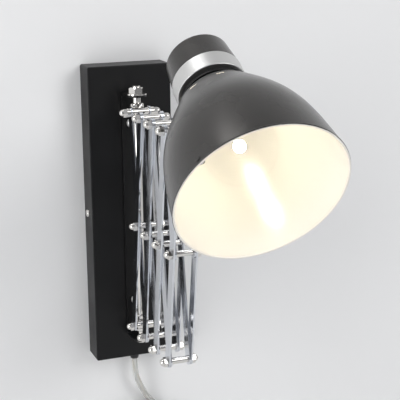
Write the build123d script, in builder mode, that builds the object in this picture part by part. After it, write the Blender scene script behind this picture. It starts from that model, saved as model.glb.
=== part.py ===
from build123d import *
from math import asin, atan2, ceil, cos, degrees, pi, radians, sin, sqrt, tan
import os

# Accordion wall lamp, in millimetres. The origin is the wall mount: the middle of
# the wall plate's back. +X points right, -Y points out of the wall, +Z points up.
os.makedirs("parts", exist_ok=True)

# ---------------------------------------------------------------- driving dimensions
# Wall cover: a folded steel box, open at the back.
COVER_WIDTH = 84.0
COVER_HEIGHT = 300.0
COVER_DEPTH = 27.0
COVER_WALL = 1.2
COVER_CORNER_R = 2.0

# Wall strap inside the cover, with two ears for the side screws.
STRAP_WIDTH = 62.0
STRAP_HEIGHT = 220.0
STRAP_THICK = 1.5
EAR_HEIGHT = 24.0
EAR_DEPTH = 21.0
WALL_HOLE_R = 2.75
WALL_HOLE_SPACING = 180.0
SIDE_SCREW_Z = 3.0
SIDE_SCREW_Y = -13.5
SIDE_SCREW_R = 2.0
SIDE_HEAD_R = 3.8
SIDE_HEAD_HEIGHT = 2.2
SIDE_HEAD_EDGE_R = 1.54

# Pivot bracket: a black strip with a lip at each end that holds the upright rod.
BRACKET_WIDTH = 19.0
BRACKET_THICK = 2.0
BRACKET_BEND_R = 1.6
BRACKET_TOP = 124.4
BRACKET_BOTTOM = -124.0
BRACKET_SCREW_Z = (93.5, -88.0)
BRACKET_SCREW_R = 2.5
BRACKET_HEAD_R = 4.8
BRACKET_HEAD_HEIGHT = 3.2
BRACKET_NUT_AF = 8.0
BRACKET_NUT_HEIGHT = 4.0
BRACKET_SCREW_TIP = 1.0

# Upright rod, its hexagon nut and its foot.
ROD_R = 4.0
ROD_Y = -48.0
ROD_WASHER_R = 10.0
ROD_WASHER = 1.3
ROD_NUT_AF = 13.0
ROD_NUT_HEIGHT = 6.0
NUT_CHAMFER_ANGLE = 30.0
ROD_END = 1.2
ROD_FOOT_R = 6.0
ROD_FOOT_HEIGHT = 2.5

# Scissor lattice: four crossings, folded as it hangs beside the wall.
UNITS = 4
TOP_Z = 109.0
FOLDED_HEIGHT = 214.5
FOLDED_PITCH = 33.6
LATTICE_Y = -57.0
BAR_WIDTH = 11.0
BAR_THICK = 1.5
AXLE_R = 2.5
SPACER_R = 3.0
SPACER_HALF = 8.25
LAYER_GAP = 0.1
ACORN_AF = 8.0
ACORN_HEX = 3.6
ACORN_DOME_R = 3.5
ACORN_BORE_DEPTH = 4.6

# Swing block at the top pivot and slide block at the bottom one: an upright sleeve on
# the rod, with a barrel across its front for the axle.
SLEEVE_R = 7.0
SWING_SLEEVE_HEIGHT = 15.0
SLIDE_SLEEVE_HEIGHT = 17.0
BARREL_R = 4.2
WASHER_R = 4.6
WASHER_STACK = 3.4

# Head: the shade's axis passes the last top pivot at a fixed distance.
HEAD_DROP = 32.1
HEAD_ARM = 69.0
POST_S = 139.0
KNUCKLE_R = 7.0
KNUCKLE_BOSS_R = 6.5
POST_R = 5.0
POST_BORE_R = 3.5
COLLAR_R = 8.5
COLLAR_HEIGHT = 4.0
COLLAR_EDGE_R = 1.0
POST_NUT_AF = 14.0
POST_NUT_HEIGHT = 3.5
POST_END = 0.6

# Shade, ring and cap. Places along the shade's axis count back from the opening.
SHADE_PROFILE = ((68.5, 0.0), (64.8, 30.0), (57.2, 60.0), (44.6, 84.0), (32.6, 102.6))
SHADE_WALL = 1.2
RIM_BEAD_R = 1.0
SHOULDER_S = 105.0
SHOULDER_R = 30.0
SHADE_HOLE_R = 19.6
VENTS = 10
VENT_START = 31.0
VENT_S = 95.5
VENT_LENGTH = 7.0
VENT_WIDTH = 2.0
NECK_R = 24.0
NECK_WALL = 1.4
NECK_COLLAR_STARTS = (0.8, 5.6)
NECK_COLLAR_R = 26.6
NECK_COLLAR = 2.0
RING_START = 115.0
RING_END = 130.6
RING_R = 29.3
RING_WALL = 1.5
CAP_END = 156.5
CAP_R = 29.0
CAP_END_R = 26.4
CAP_WALL = 1.5
CAP_EDGE_R = 2.5
HOLDER_R = 18.4
HOLDER_FRONT = 96.0
HOLDER_BORE_R = 13.6
HOLDER_BORE_END = 128.0
HOLDER_FLANGE_R = 23.0
HOLDER_FLANGE = 2.0

# Bulb with a 27 mm screw base.
BULB_BASE_R = 13.1
BULB_BASE_FRONT = 101.0
BULB_BASE_END = 125.0
BULB_CONTACT_R = 5.0
BULB_R = 30.0
BULB_CENTRE_S = 50.0
BULB_FLANK_SHARES = (0.80, 0.72)
BULB_NECK_R = 13.0
BULB_WALL = 1.0

# Small screw through the shade near its rim.
RIM_SCREW_S = 5.0
RIM_SCREW_ANGLE = 146.0
RIM_SCREW_R = 1.5
RIM_SCREW_HEAD_R = 2.1
RIM_SCREW_HEAD = 0.7
RIM_SCREW_TAPER = 25.0
RIM_SCREW_NUT_AF = 5.5
RIM_SCREW_NUT = 2.4
RIM_SCREW_TIP = 1.6

# Terminal block inside the cover.
TERMINAL_SIZE = (28.0, 13.0, 17.0)
TERMINAL_EDGE_R = 1.0
TERMINAL_Z = -95.0
TERMINAL_SCREWS = 3
TERMINAL_PITCH = 9.0
TERMINAL_SCREW_R = 2.2
TERMINAL_SCREW_HEIGHT = 1.0

# Cord, with the length that the photograph doesn't show wound in a coil.
CORD_D = 6.0
CORD_X = 1.9
CORD_Y = -13.5
GLAND_IN = 14.0
GLAND_OUT = 7.5
GLAND_R = 6.0
GLAND_TIP_R = 3.9
GLAND_FLANGE_R = 8.0
GLAND_FLANGE = 2.0
COIL_PITCH = 6.5
COIL_QUARTERS = 24
COIL_INNER_R = 25.6
COIL_START_ANGLE = 45.0
COIL_WALL_GAP = 1.4
COIL_CENTRE = (5.8, -261.4)
TIE_WIDTH = 5.0
TIE_THICK = 0.8
TIE_GAP = 0.3
TIE_ANGLE = 200.0
PLUG_WIDTH = 35.3
PLUG_WAIST = 24.7
PLUG_THICK = 13.7
PLUG_LENGTH = 36.0
PLUG_GRIP_R = 5.5
PLUG_FACE_R = 6.0
PIN_R = 2.0
PIN_TIP_R = 1.2
PIN_LENGTH = 19.0
PIN_SPACING = 18.6
PIN_SEAT = 4.0

# Fits.
RUNNING = 0.08
SLIDING = 0.1
SEAT = 0.3
THREAD = 0.05
HOLE_EASE = 0.25

# ---------------------------------------------------------------- derived places
COVER_FRONT = -COVER_DEPTH
BRACKET_FRONT = COVER_FRONT - BRACKET_THICK
INNER_LAYER = SPACER_HALF + LAYER_GAP
OUTER_LAYER = INNER_LAYER + BAR_THICK + LAYER_GAP
STACK_HALF = OUTER_LAYER + BAR_THICK + LAYER_GAP
BOTTOM_Z = TOP_Z - FOLDED_HEIGHT
MIDDLE_Z = (TOP_Z + BOTTOM_Z) / 2
WASHER_START = INNER_LAYER + BAR_THICK + LAYER_GAP
SWING_STACK = WASHER_START + WASHER_STACK

HEAD_ANGLE = radians(HEAD_DROP)
BACKWARD = Vector(0, cos(HEAD_ANGLE), sin(HEAD_ANGLE))
UPWARD = Vector(0, -sin(HEAD_ANGLE), cos(HEAD_ANGLE))
SIDEWAYS = Vector(1, 0, 0)


def top_pivot(index):
    """Place of a pivot of the upper row, in the plane that halves the lamp."""
    return (LATTICE_Y - index * FOLDED_PITCH, TOP_Z)


def bottom_pivot(index):
    """Place of a pivot of the lower row."""
    return (LATTICE_Y - index * FOLDED_PITCH, BOTTOM_Z)


def middle_pivot(index):
    """Place of a crossing in the middle of the bars."""
    return (LATTICE_Y - (index + 0.5) * FOLDED_PITCH, MIDDLE_Z)


HEAD_PIVOT = Vector(0, *top_pivot(UNITS))
SHADE_OPENING = HEAD_PIVOT + UPWARD * HEAD_ARM - BACKWARD * POST_S
SHADE_AXIS = Axis(SHADE_OPENING, BACKWARD)
SHADE_PROFILE_PLANE = Plane(origin=SHADE_OPENING, x_dir=SIDEWAYS, z_dir=UPWARD)
POST_AXIS = Axis(HEAD_PIVOT, UPWARD)


def post_plane(distance):
    """Plane square to the post, at a distance from the last top pivot."""
    return Plane(origin=HEAD_PIVOT + UPWARD * distance, x_dir=SIDEWAYS, z_dir=UPWARD)


def shade_plane(place):
    """Plane square to the shade's axis, at a place counted from its opening."""
    origin = SHADE_OPENING + BACKWARD * place
    return Plane(origin=origin, x_dir=SIDEWAYS, z_dir=BACKWARD)


def side_plane(x):
    """Upright plane whose own axes run along Y and Z."""
    return Plane(origin=(x, 0, 0), x_dir=(0, 1, 0), z_dir=(1, 0, 0))


def front_plane(y):
    """Plane parallel to the wall, whose own axes run along X and Z, facing out."""
    return Plane(origin=(0, y, 0), x_dir=(1, 0, 0), z_dir=(0, -1, 0))


def finish(piece, name):
    """Label a finished piece and write it."""
    piece.part.label = name
    export_step(piece.part, f"parts/{name}.step")


def hexagon_radius(across_flats):
    """Corner radius of a hexagon."""
    return across_flats / sqrt(3)


# ---------------------------------------------------------------- wall cover and strap
def make_wall_cover():
    with BuildPart() as cover:
        with BuildSketch(Plane.XZ):
            Rectangle(COVER_WIDTH, COVER_HEIGHT)
        extrude(amount=COVER_DEPTH)
        front_edges = cover.edges().filter_by(Axis.Y)
        fillet(front_edges, radius=COVER_CORNER_R)
        fillet(cover.faces().sort_by(Axis.Y)[0].edges(), radius=COVER_CORNER_R / 2)
        with BuildSketch(Plane.XZ):
            RectangleRounded(
                COVER_WIDTH - 2 * COVER_WALL, COVER_HEIGHT - 2 * COVER_WALL, COVER_CORNER_R - COVER_WALL / 2
            )
        extrude(amount=COVER_DEPTH - COVER_WALL, mode=Mode.SUBTRACT)
        with BuildSketch(side_plane(-COVER_WIDTH)):
            with Locations((SIDE_SCREW_Y, SIDE_SCREW_Z)):
                Circle(SIDE_SCREW_R + HOLE_EASE)
        extrude(amount=2 * COVER_WIDTH, mode=Mode.SUBTRACT)
        with BuildSketch(front_plane(0)):
            with Locations(*[(0, z) for z in BRACKET_SCREW_Z]):
                Circle(BRACKET_SCREW_R + HOLE_EASE)
        extrude(amount=2 * COVER_DEPTH, mode=Mode.SUBTRACT)
        with BuildSketch(Plane.XY.offset(-COVER_HEIGHT)):
            with Locations((CORD_X, CORD_Y)):
                Circle(GLAND_R + HOLE_EASE)
        extrude(amount=COVER_HEIGHT, mode=Mode.SUBTRACT)
    finish(cover, "wall_cover")


def make_wall_strap():
    ear_face = COVER_WIDTH / 2 - COVER_WALL - LAYER_GAP
    with BuildPart() as strap:
        with BuildSketch(Plane.XZ):
            RectangleRounded(STRAP_WIDTH, STRAP_HEIGHT, COVER_CORNER_R)
            with Locations((0, SIDE_SCREW_Z)):
                Rectangle(2 * ear_face, EAR_HEIGHT)
            with Locations((0, WALL_HOLE_SPACING / 2), (0, -WALL_HOLE_SPACING / 2)):
                Circle(WALL_HOLE_R, mode=Mode.SUBTRACT)
        extrude(amount=STRAP_THICK)
        for side in (1, -1):
            with BuildSketch(side_plane(side * (ear_face - STRAP_THICK / 2))):
                with Locations((-EAR_DEPTH / 2, SIDE_SCREW_Z)):
                    Rectangle(EAR_DEPTH, EAR_HEIGHT)
                with Locations((SIDE_SCREW_Y, SIDE_SCREW_Z)):
                    Circle(SIDE_SCREW_R + THREAD, mode=Mode.SUBTRACT)
            extrude(amount=STRAP_THICK / 2, both=True)
    finish(strap, "wall_strap")


def make_side_screws():
    length = COVER_WALL + LAYER_GAP + STRAP_THICK + 2 * SIDE_SCREW_R
    with BuildPart() as screws:
        for side in (1, -1):
            centre = (side * COVER_WIDTH / 2, SIDE_SCREW_Y, SIDE_SCREW_Z)
            face = Plane(origin=centre, x_dir=(0, 1, 0), z_dir=(side, 0, 0))
            with BuildSketch(face):
                Circle(SIDE_SCREW_R)
            extrude(amount=-length)
            with BuildSketch(face):
                Circle(SIDE_HEAD_R)
            extrude(amount=SIDE_HEAD_HEIGHT)
        rounds = screws.edges().filter_by(GeomType.CIRCLE)
        rims = rounds.filter_by(lambda e: abs(e.radius - SIDE_HEAD_R) < THREAD)
        outer = rims.filter_by(lambda e: abs(e.center().X) > COVER_WIDTH / 2 + SIDE_HEAD_HEIGHT / 2)
        fillet(outer, radius=SIDE_HEAD_EDGE_R)
    finish(screws, "cover_screws")


def make_terminal_block():
    width, depth, height = TERMINAL_SIZE
    back = -STRAP_THICK
    with BuildPart() as block:
        with BuildSketch(Plane.XY.offset(TERMINAL_Z - height / 2)):
            with Locations((0, back - depth / 2)):
                Rectangle(width, depth)
        extrude(amount=height)
        fillet(block.edges().filter_by(Axis.Z), radius=TERMINAL_EDGE_R)
    finish(block, "terminal_block")
    with BuildPart() as screws:
        with BuildSketch(front_plane(back - depth)):
            with Locations((0, TERMINAL_Z)):
                with GridLocations(TERMINAL_PITCH, height / 2, TERMINAL_SCREWS, 2):
                    Circle(TERMINAL_SCREW_R)
        extrude(amount=TERMINAL_SCREW_HEIGHT)
    finish(screws, "terminal_screws")


# ---------------------------------------------------------------- bracket and rod
def make_pivot_bracket():
    height = BRACKET_TOP - BRACKET_BOTTOM
    lip_levels = (BRACKET_BOTTOM, BRACKET_TOP - BRACKET_THICK)
    with BuildPart() as bracket:
        with BuildSketch(front_plane(COVER_FRONT)):
            with Locations((0, (BRACKET_TOP + BRACKET_BOTTOM) / 2)):
                Rectangle(BRACKET_WIDTH, height)
            with Locations(*[(0, z) for z in BRACKET_SCREW_Z]):
                Circle(BRACKET_SCREW_R + HOLE_EASE, mode=Mode.SUBTRACT)
        extrude(amount=BRACKET_THICK)
        for level in lip_levels:
            with BuildSketch(Plane.XY.offset(level)):
                with Locations((0, (COVER_FRONT + ROD_Y) / 2)):
                    Rectangle(BRACKET_WIDTH, COVER_FRONT - ROD_Y)
                with Locations((0, ROD_Y)):
                    Circle(BRACKET_WIDTH / 2)
                with Locations((0, ROD_Y)):
                    Circle(ROD_R + SLIDING, mode=Mode.SUBTRACT)
            extrude(amount=BRACKET_THICK)
        bends = bracket.edges().filter_by(Axis.X).group_by(Axis.Y)[-1]
        fillet(bends, radius=min(BRACKET_BEND_R, BRACKET_THICK * 0.9))
    finish(bracket, "pivot_bracket")


def make_bracket_screws():
    shank = BRACKET_THICK + COVER_WALL + BRACKET_NUT_HEIGHT + BRACKET_SCREW_TIP
    dome_r = (BRACKET_HEAD_R ** 2 + BRACKET_HEAD_HEIGHT ** 2) / (2 * BRACKET_HEAD_HEIGHT)
    half_turn = asin(BRACKET_HEAD_R / dome_r) / 2
    dome_middle = (dome_r * sin(half_turn), dome_r - BRACKET_HEAD_HEIGHT - dome_r * cos(half_turn))
    with BuildPart() as screws:
        with BuildSketch(front_plane(BRACKET_FRONT)):
            with Locations(*[(0, z) for z in BRACKET_SCREW_Z]):
                Circle(BRACKET_SCREW_R)
        extrude(amount=-shank)
        for z in BRACKET_SCREW_Z:
            with BuildSketch(Plane(origin=(0, BRACKET_FRONT, z), x_dir=(1, 0, 0), z_dir=(0, 0, 1))):
                with BuildLine():
                    Line((0, 0), (BRACKET_HEAD_R, 0))
                    ThreePointArc((BRACKET_HEAD_R, 0), dome_middle, (0, -BRACKET_HEAD_HEIGHT))
                    Line((0, -BRACKET_HEAD_HEIGHT), (0, 0))
                make_face()
            revolve(axis=Axis((0, BRACKET_FRONT, z), (0, 1, 0)))
    finish(screws, "bracket_screws")
    with BuildPart() as nuts:
        with BuildSketch(front_plane(COVER_FRONT + COVER_WALL)):
            with Locations(*[(0, z) for z in BRACKET_SCREW_Z]):
                RegularPolygon(hexagon_radius(BRACKET_NUT_AF), 6)
                Circle(BRACKET_SCREW_R + THREAD, mode=Mode.SUBTRACT)
        extrude(amount=-BRACKET_NUT_HEIGHT)
    finish(nuts, "bracket_nuts")


def make_rod():
    nut_seat = BRACKET_TOP + ROD_WASHER
    nut_top = nut_seat + ROD_NUT_HEIGHT
    with BuildPart() as rod:
        with BuildSketch(Plane.XY.offset(BRACKET_BOTTOM)):
            with Locations((0, ROD_Y)):
                Circle(ROD_R)
        extrude(amount=nut_top + ROD_END - BRACKET_BOTTOM)
        chamfer(rod.faces().sort_by(Axis.Z)[-1].edges(), length=ROD_END / 2)
        with BuildSketch(Plane.XY.offset(BRACKET_BOTTOM - ROD_FOOT_HEIGHT)):
            with Locations((0, ROD_Y)):
                Circle(ROD_FOOT_R)
        extrude(amount=ROD_FOOT_HEIGHT)
        fillet(rod.faces().sort_by(Axis.Z)[0].edges(), radius=ROD_FOOT_HEIGHT / 2)
    finish(rod, "pivot_rod")
    with BuildPart() as washer:
        with BuildSketch(Plane.XY.offset(BRACKET_TOP)):
            with Locations((0, ROD_Y)):
                Circle(ROD_WASHER_R)
                Circle(ROD_R + HOLE_EASE, mode=Mode.SUBTRACT)
        extrude(amount=ROD_WASHER)
    finish(washer, "rod_washer")
    with BuildPart() as nut:
        with BuildSketch(Plane.XY.offset(nut_seat)):
            with Locations((0, ROD_Y)):
                RegularPolygon(hexagon_radius(ROD_NUT_AF), 6)
        extrude(amount=ROD_NUT_HEIGHT)
        with BuildSketch(side_plane(0)):
            with BuildLine():
                corner = hexagon_radius(ROD_NUT_AF)
                flat = ROD_NUT_AF / 2
                drop = (corner - flat) * tan(radians(NUT_CHAMFER_ANGLE)) * 2
                Polyline(
                    (ROD_Y, nut_seat),
                    (ROD_Y + corner, nut_seat),
                    (ROD_Y + corner, nut_top - drop),
                    (ROD_Y + flat, nut_top),
                    (ROD_Y, nut_top),
                    close=True,
                )
            make_face()
        revolve(axis=Axis((0, ROD_Y, 0), (0, 0, 1)), mode=Mode.INTERSECT)
        with BuildSketch(Plane.XY.offset(nut_seat)):
            with Locations((0, ROD_Y)):
                Circle(ROD_R + THREAD)
        extrude(amount=ROD_NUT_HEIGHT, mode=Mode.SUBTRACT)
    finish(nut, "rod_nut")


# ---------------------------------------------------------------- scissor lattice
def acorn_nut(side):
    """Domed nut whose flat face lies at the origin and whose dome points along X."""
    with BuildPart() as nut:
        with BuildSketch(Plane(origin=(0, 0, 0), x_dir=(0, 1, 0), z_dir=(side, 0, 0))):
            RegularPolygon(hexagon_radius(ACORN_AF), 6)
        extrude(amount=ACORN_HEX)
        with Locations((side * ACORN_HEX, 0, 0)):
            Sphere(ACORN_DOME_R)
        with BuildSketch(Plane(origin=(0, 0, 0), x_dir=(0, 1, 0), z_dir=(side, 0, 0))):
            Circle(AXLE_R + THREAD)
        extrude(amount=ACORN_BORE_DEPTH, mode=Mode.SUBTRACT)
    return nut.part


def make_axles(name, pivots, stack, spacer_half):
    """Axles with a thicker middle, and a pair of domed nuts on each."""
    with BuildPart() as axles:
        for y, z in pivots:
            with BuildSketch(side_plane(0)):
                with Locations((y, z)):
                    Circle(AXLE_R)
            extrude(amount=stack + ACORN_BORE_DEPTH - HOLE_EASE, both=True)
            with BuildSketch(side_plane(0)):
                with Locations((y, z)):
                    Circle(SPACER_R)
            extrude(amount=spacer_half, both=True)
    finish(axles, f"{name}_axles")
    with BuildPart() as nuts:
        for side in (1, -1):
            with Locations(*[(side * stack, y, z) for y, z in pivots]):
                add(acorn_nut(side))
    finish(nuts, f"{name}_nuts")


def make_bars(name, start, end, layer, holes):
    """A left and a right bar with round ends, between two pivots."""
    length = sqrt((end[0] - start[0]) ** 2 + (end[1] - start[1]) ** 2)
    middle = ((start[0] + end[0]) / 2, (start[1] + end[1]) / 2)
    angle = degrees(atan2(end[1] - start[1], end[0] - start[0]))
    with BuildPart() as bars:
        for face in (layer, -layer - BAR_THICK):
            with BuildSketch(side_plane(face)):
                with Locations(middle):
                    SlotCenterToCenter(length, BAR_WIDTH, rotation=angle)
                with Locations(*holes):
                    Circle(AXLE_R + RUNNING, mode=Mode.SUBTRACT)
            extrude(amount=BAR_THICK)
    finish(bars, f"{name}_bars")


def make_lattice():
    for index in range(UNITS):
        top = top_pivot(index)
        middle = middle_pivot(index)
        low_end = bottom_pivot(index + 1)
        whole = index < UNITS - 1
        end = low_end if whole else middle
        holes = (top, middle, low_end) if whole else (top, middle)
        make_bars(f"falling_{index}", top, end, INNER_LAYER, holes)
        make_axles(f"falling_{index}", (middle,), STACK_HALF, SPACER_HALF)
        bottom = bottom_pivot(index)
        rise_end = top_pivot(index + 1)
        make_bars(f"rising_{index}", bottom, rise_end, OUTER_LAYER, (bottom, middle, rise_end))
        make_axles(f"rising_{index}", (bottom, rise_end), STACK_HALF, SPACER_HALF)


# ---------------------------------------------------------------- blocks on the rod
def make_rod_block(name, pivot, sleeve_height):
    """A sleeve that turns on the rod, with a barrel across it that holds an axle."""
    eye_y, eye_z = pivot
    half_width = INNER_LAYER - LAYER_GAP
    with BuildPart() as block:
        with BuildSketch(Plane.XY.offset(eye_z - sleeve_height / 2)):
            with Locations((0, ROD_Y)):
                Circle(SLEEVE_R)
        extrude(amount=sleeve_height)
        chamfer(block.edges().filter_by(GeomType.CIRCLE), length=SLEEVE_R / 10)
        with BuildSketch(side_plane(0)):
            with Locations((eye_y, eye_z)):
                Circle(BARREL_R)
        extrude(amount=half_width, both=True)
        with BuildSketch(Plane.XY.offset(eye_z - sleeve_height)):
            with Locations((0, ROD_Y)):
                Circle(ROD_R + SLIDING)
        extrude(amount=2 * sleeve_height, mode=Mode.SUBTRACT)
        with BuildSketch(side_plane(0)):
            with Locations((eye_y, eye_z)):
                Circle(SPACER_R + RUNNING)
        extrude(amount=half_width, both=True, mode=Mode.SUBTRACT)
    finish(block, name)


def make_swing_washers():
    """The thick washers that keep the top nuts clear of the outer bars."""
    with BuildPart() as washers:
        for face in (WASHER_START, -SWING_STACK):
            with BuildSketch(side_plane(face)):
                with Locations(top_pivot(0)):
                    Circle(WASHER_R)
                    Circle(AXLE_R + THREAD, mode=Mode.SUBTRACT)
            extrude(amount=WASHER_STACK)
    finish(washers, "swing_washers")


# ---------------------------------------------------------------- head joint
def make_head_joint():
    half_width = OUTER_LAYER - LAYER_GAP
    collar_top = HEAD_ARM - CAP_R - SEAT
    post_top = HEAD_ARM - HOLDER_R - POST_END
    nut_top = post_top - POST_END
    with BuildPart() as knuckle:
        with BuildSketch(Plane(origin=HEAD_PIVOT, x_dir=(0, 1, 0), z_dir=(1, 0, 0))):
            Circle(KNUCKLE_R)
        extrude(amount=half_width, both=True)
        with BuildSketch(post_plane(0)):
            Circle(KNUCKLE_BOSS_R)
        extrude(amount=2 * KNUCKLE_R)
        with BuildSketch(post_plane(KNUCKLE_R)):
            Circle(POST_R + THREAD)
        extrude(amount=2 * KNUCKLE_R, mode=Mode.SUBTRACT)
        with BuildSketch(Plane(origin=HEAD_PIVOT, x_dir=(0, 1, 0), z_dir=(1, 0, 0))):
            Circle(SPACER_R + RUNNING)
        extrude(amount=half_width, both=True, mode=Mode.SUBTRACT)
    finish(knuckle, "head_knuckle")
    with BuildPart() as post:
        with BuildSketch(post_plane(KNUCKLE_R)):
            Circle(POST_R)
            Circle(POST_BORE_R, mode=Mode.SUBTRACT)
        extrude(amount=post_top - KNUCKLE_R)
    finish(post, "head_post")
    with BuildPart() as collar:
        with BuildSketch(post_plane(collar_top - COLLAR_HEIGHT)):
            Circle(COLLAR_R)
            Circle(POST_R + THREAD, mode=Mode.SUBTRACT)
        extrude(amount=COLLAR_HEIGHT)
        fillet(collar.faces().sort_by(POST_AXIS)[0].outer_wire().edges(), radius=COLLAR_EDGE_R)
    finish(collar, "post_collar")
    with BuildPart() as nut:
        with BuildSketch(post_plane(nut_top - POST_NUT_HEIGHT)):
            RegularPolygon(hexagon_radius(POST_NUT_AF), 6)
            Circle(POST_R + THREAD, mode=Mode.SUBTRACT)
        extrude(amount=POST_NUT_HEIGHT)
    finish(nut, "post_nut")


# ---------------------------------------------------------------- shade, ring and cap
def shrunk_profile(points, amount):
    """The same profile, moved inwards by the wall."""
    inner = []
    last = len(points) - 1
    for index, (radius, place) in enumerate(points):
        before = points[max(index - 1, 0)]
        after = points[min(index + 1, last)]
        along = Vector(after[0] - before[0], after[1] - before[1]).normalized()
        inner.append((radius - along.Y * amount, place + along.X * amount))
    inner[0] = (inner[0][0], points[0][1])
    return inner


def make_shade():
    inner = shrunk_profile(SHADE_PROFILE, SHADE_WALL)
    inner_face = SHOULDER_S - SHADE_WALL
    with BuildPart() as shade:
        with BuildSketch(SHADE_PROFILE_PLANE):
            with BuildLine():
                outer_curve = Spline(*SHADE_PROFILE)
                shoulder = (SHOULDER_R, SHOULDER_S)
                outer_round = TangentArc(outer_curve @ 1, shoulder, tangent=outer_curve % 1)
                Line(shoulder, (SHADE_HOLE_R, SHOULDER_S))
                Line((SHADE_HOLE_R, SHOULDER_S), (SHADE_HOLE_R, inner_face))
                inner_corner = (SHOULDER_R - SHADE_WALL, inner_face)
                Line((SHADE_HOLE_R, inner_face), inner_corner)
                inner_curve = Spline(*reversed(inner))
                Line(inner_corner, inner_curve @ 0)
                Line(inner_curve @ 1, outer_curve @ 0)
            make_face()
        revolve(axis=SHADE_AXIS)
        with BuildSketch(SHADE_PROFILE_PLANE):
            with Locations((SHADE_PROFILE[0][0] - SHADE_WALL / 2, RIM_BEAD_R)):
                Circle(RIM_BEAD_R)
        revolve(axis=SHADE_AXIS)
        for index in range(VENTS):
            turn = radians(VENT_START + index * 360 / VENTS)
            outward = SIDEWAYS * cos(turn) + UPWARD * sin(turn)
            centre = SHADE_OPENING + BACKWARD * VENT_S + outward * SHOULDER_R
            vent = Plane(origin=centre, x_dir=BACKWARD.cross(outward), z_dir=outward)
            with BuildSketch(vent):
                SlotOverall(VENT_LENGTH, VENT_WIDTH)
            extrude(amount=SHOULDER_R / 2, mode=Mode.SUBTRACT)
        with BuildSketch(rim_screw_plane(0)):
            Circle(RIM_SCREW_R + HOLE_EASE)
        extrude(amount=2 * SHADE_WALL, both=True, mode=Mode.SUBTRACT)
    finish(shade, "shade")


def rim_screw_plane(outward_shift):
    """Plane square to the flared wall at the small screw, facing out."""
    (front_r, front_s), (back_r, back_s) = SHADE_PROFILE[:2]
    share = (RIM_SCREW_S - front_s) / (back_s - front_s)
    wall_r = front_r + (back_r - front_r) * share
    turn = radians(RIM_SCREW_ANGLE)
    radial = SIDEWAYS * cos(turn) + UPWARD * sin(turn)
    outward = (radial * (back_s - front_s) + BACKWARD * (front_r - back_r)).normalized()
    centre = SHADE_OPENING + BACKWARD * RIM_SCREW_S + radial * wall_r + outward * outward_shift
    along = outward.cross(BACKWARD.cross(radial))
    return Plane(origin=centre, x_dir=along, z_dir=outward)


def make_rim_screw():
    length = SHADE_WALL + 2 * SEAT + RIM_SCREW_NUT + RIM_SCREW_TIP
    with BuildPart() as screw:
        with BuildSketch(rim_screw_plane(SEAT)):
            Circle(RIM_SCREW_R)
        extrude(amount=-length)
        with BuildSketch(rim_screw_plane(SEAT)):
            Circle(RIM_SCREW_HEAD_R)
        extrude(amount=RIM_SCREW_HEAD, taper=RIM_SCREW_TAPER)
    finish(screw, "rim_screw")
    with BuildPart() as nut:
        with BuildSketch(rim_screw_plane(-SHADE_WALL - SEAT)):
            RegularPolygon(hexagon_radius(RIM_SCREW_NUT_AF), 6)
            Circle(RIM_SCREW_R + THREAD, mode=Mode.SUBTRACT)
        extrude(amount=-RIM_SCREW_NUT)
    finish(nut, "rim_nut")


def make_neck_and_ring():
    with BuildPart() as neck:
        with BuildSketch(shade_plane(SHOULDER_S)):
            Circle(NECK_R)
            Circle(NECK_R - NECK_WALL, mode=Mode.SUBTRACT)
        extrude(amount=RING_END - SHOULDER_S)
        with BuildSketch(shade_plane(SHOULDER_S)):
            Circle(NECK_R)
            Circle(SHADE_HOLE_R, mode=Mode.SUBTRACT)
        extrude(amount=NECK_WALL)
        for start in NECK_COLLAR_STARTS:
            with BuildSketch(shade_plane(SHOULDER_S + start)):
                Circle(NECK_COLLAR_R)
                Circle(NECK_R - NECK_WALL, mode=Mode.SUBTRACT)
            extrude(amount=NECK_COLLAR)
        rims = neck.edges().filter_by(lambda e: abs(e.length - 2 * pi * NECK_COLLAR_R) < THREAD)
        fillet(rims, radius=NECK_COLLAR / 4)
    finish(neck, "neck_sleeve")
    with BuildPart() as ring:
        with BuildSketch(shade_plane(RING_START)):
            Circle(RING_R)
            Circle(RING_R - RING_WALL, mode=Mode.SUBTRACT)
        extrude(amount=RING_END - RING_START)
        with BuildSketch(shade_plane(RING_START)):
            Circle(RING_R)
            Circle(NECK_R + THREAD, mode=Mode.SUBTRACT)
        extrude(amount=RING_WALL)
        ends = ring.edges().filter_by(lambda e: abs(e.length - 2 * pi * RING_R) < THREAD)
        fillet(ends, radius=RING_WALL / 2)
    finish(ring, "chrome_ring")


def make_cap():
    inner_end = CAP_END - CAP_WALL
    with BuildPart() as cap:
        with BuildSketch(SHADE_PROFILE_PLANE):
            with BuildLine():
                Polyline(
                    (0, RING_END),
                    (CAP_R, RING_END),
                    (CAP_END_R, CAP_END),
                    (0, CAP_END),
                    close=True,
                )
            make_face()
        revolve(axis=SHADE_AXIS)
        fillet(cap.faces().sort_by(SHADE_AXIS)[-1].edges(), radius=CAP_EDGE_R)
        with BuildSketch(SHADE_PROFILE_PLANE):
            with BuildLine():
                Polyline(
                    (0, RING_END),
                    (CAP_R - CAP_WALL, RING_END),
                    (CAP_END_R - CAP_WALL, inner_end),
                    (0, inner_end),
                    close=True,
                )
            make_face()
        revolve(axis=SHADE_AXIS, mode=Mode.SUBTRACT)
        with BuildSketch(post_plane(0)):
            Circle(POST_R + SLIDING)
        extrude(amount=HEAD_ARM, mode=Mode.SUBTRACT)
    finish(cap, "cap")


def make_lampholder():
    seat = CAP_END - CAP_WALL
    with BuildPart() as holder:
        with BuildSketch(SHADE_PROFILE_PLANE):
            with BuildLine():
                Polyline(
                    (0, seat),
                    (HOLDER_FLANGE_R, seat),
                    (HOLDER_FLANGE_R, seat - HOLDER_FLANGE),
                    (HOLDER_R, seat - HOLDER_FLANGE),
                    (HOLDER_R, HOLDER_FRONT),
                    (HOLDER_BORE_R, HOLDER_FRONT),
                    (HOLDER_BORE_R, HOLDER_BORE_END),
                    (0, HOLDER_BORE_END),
                    close=True,
                )
            make_face()
        revolve(axis=SHADE_AXIS)
    finish(holder, "lampholder")


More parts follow.
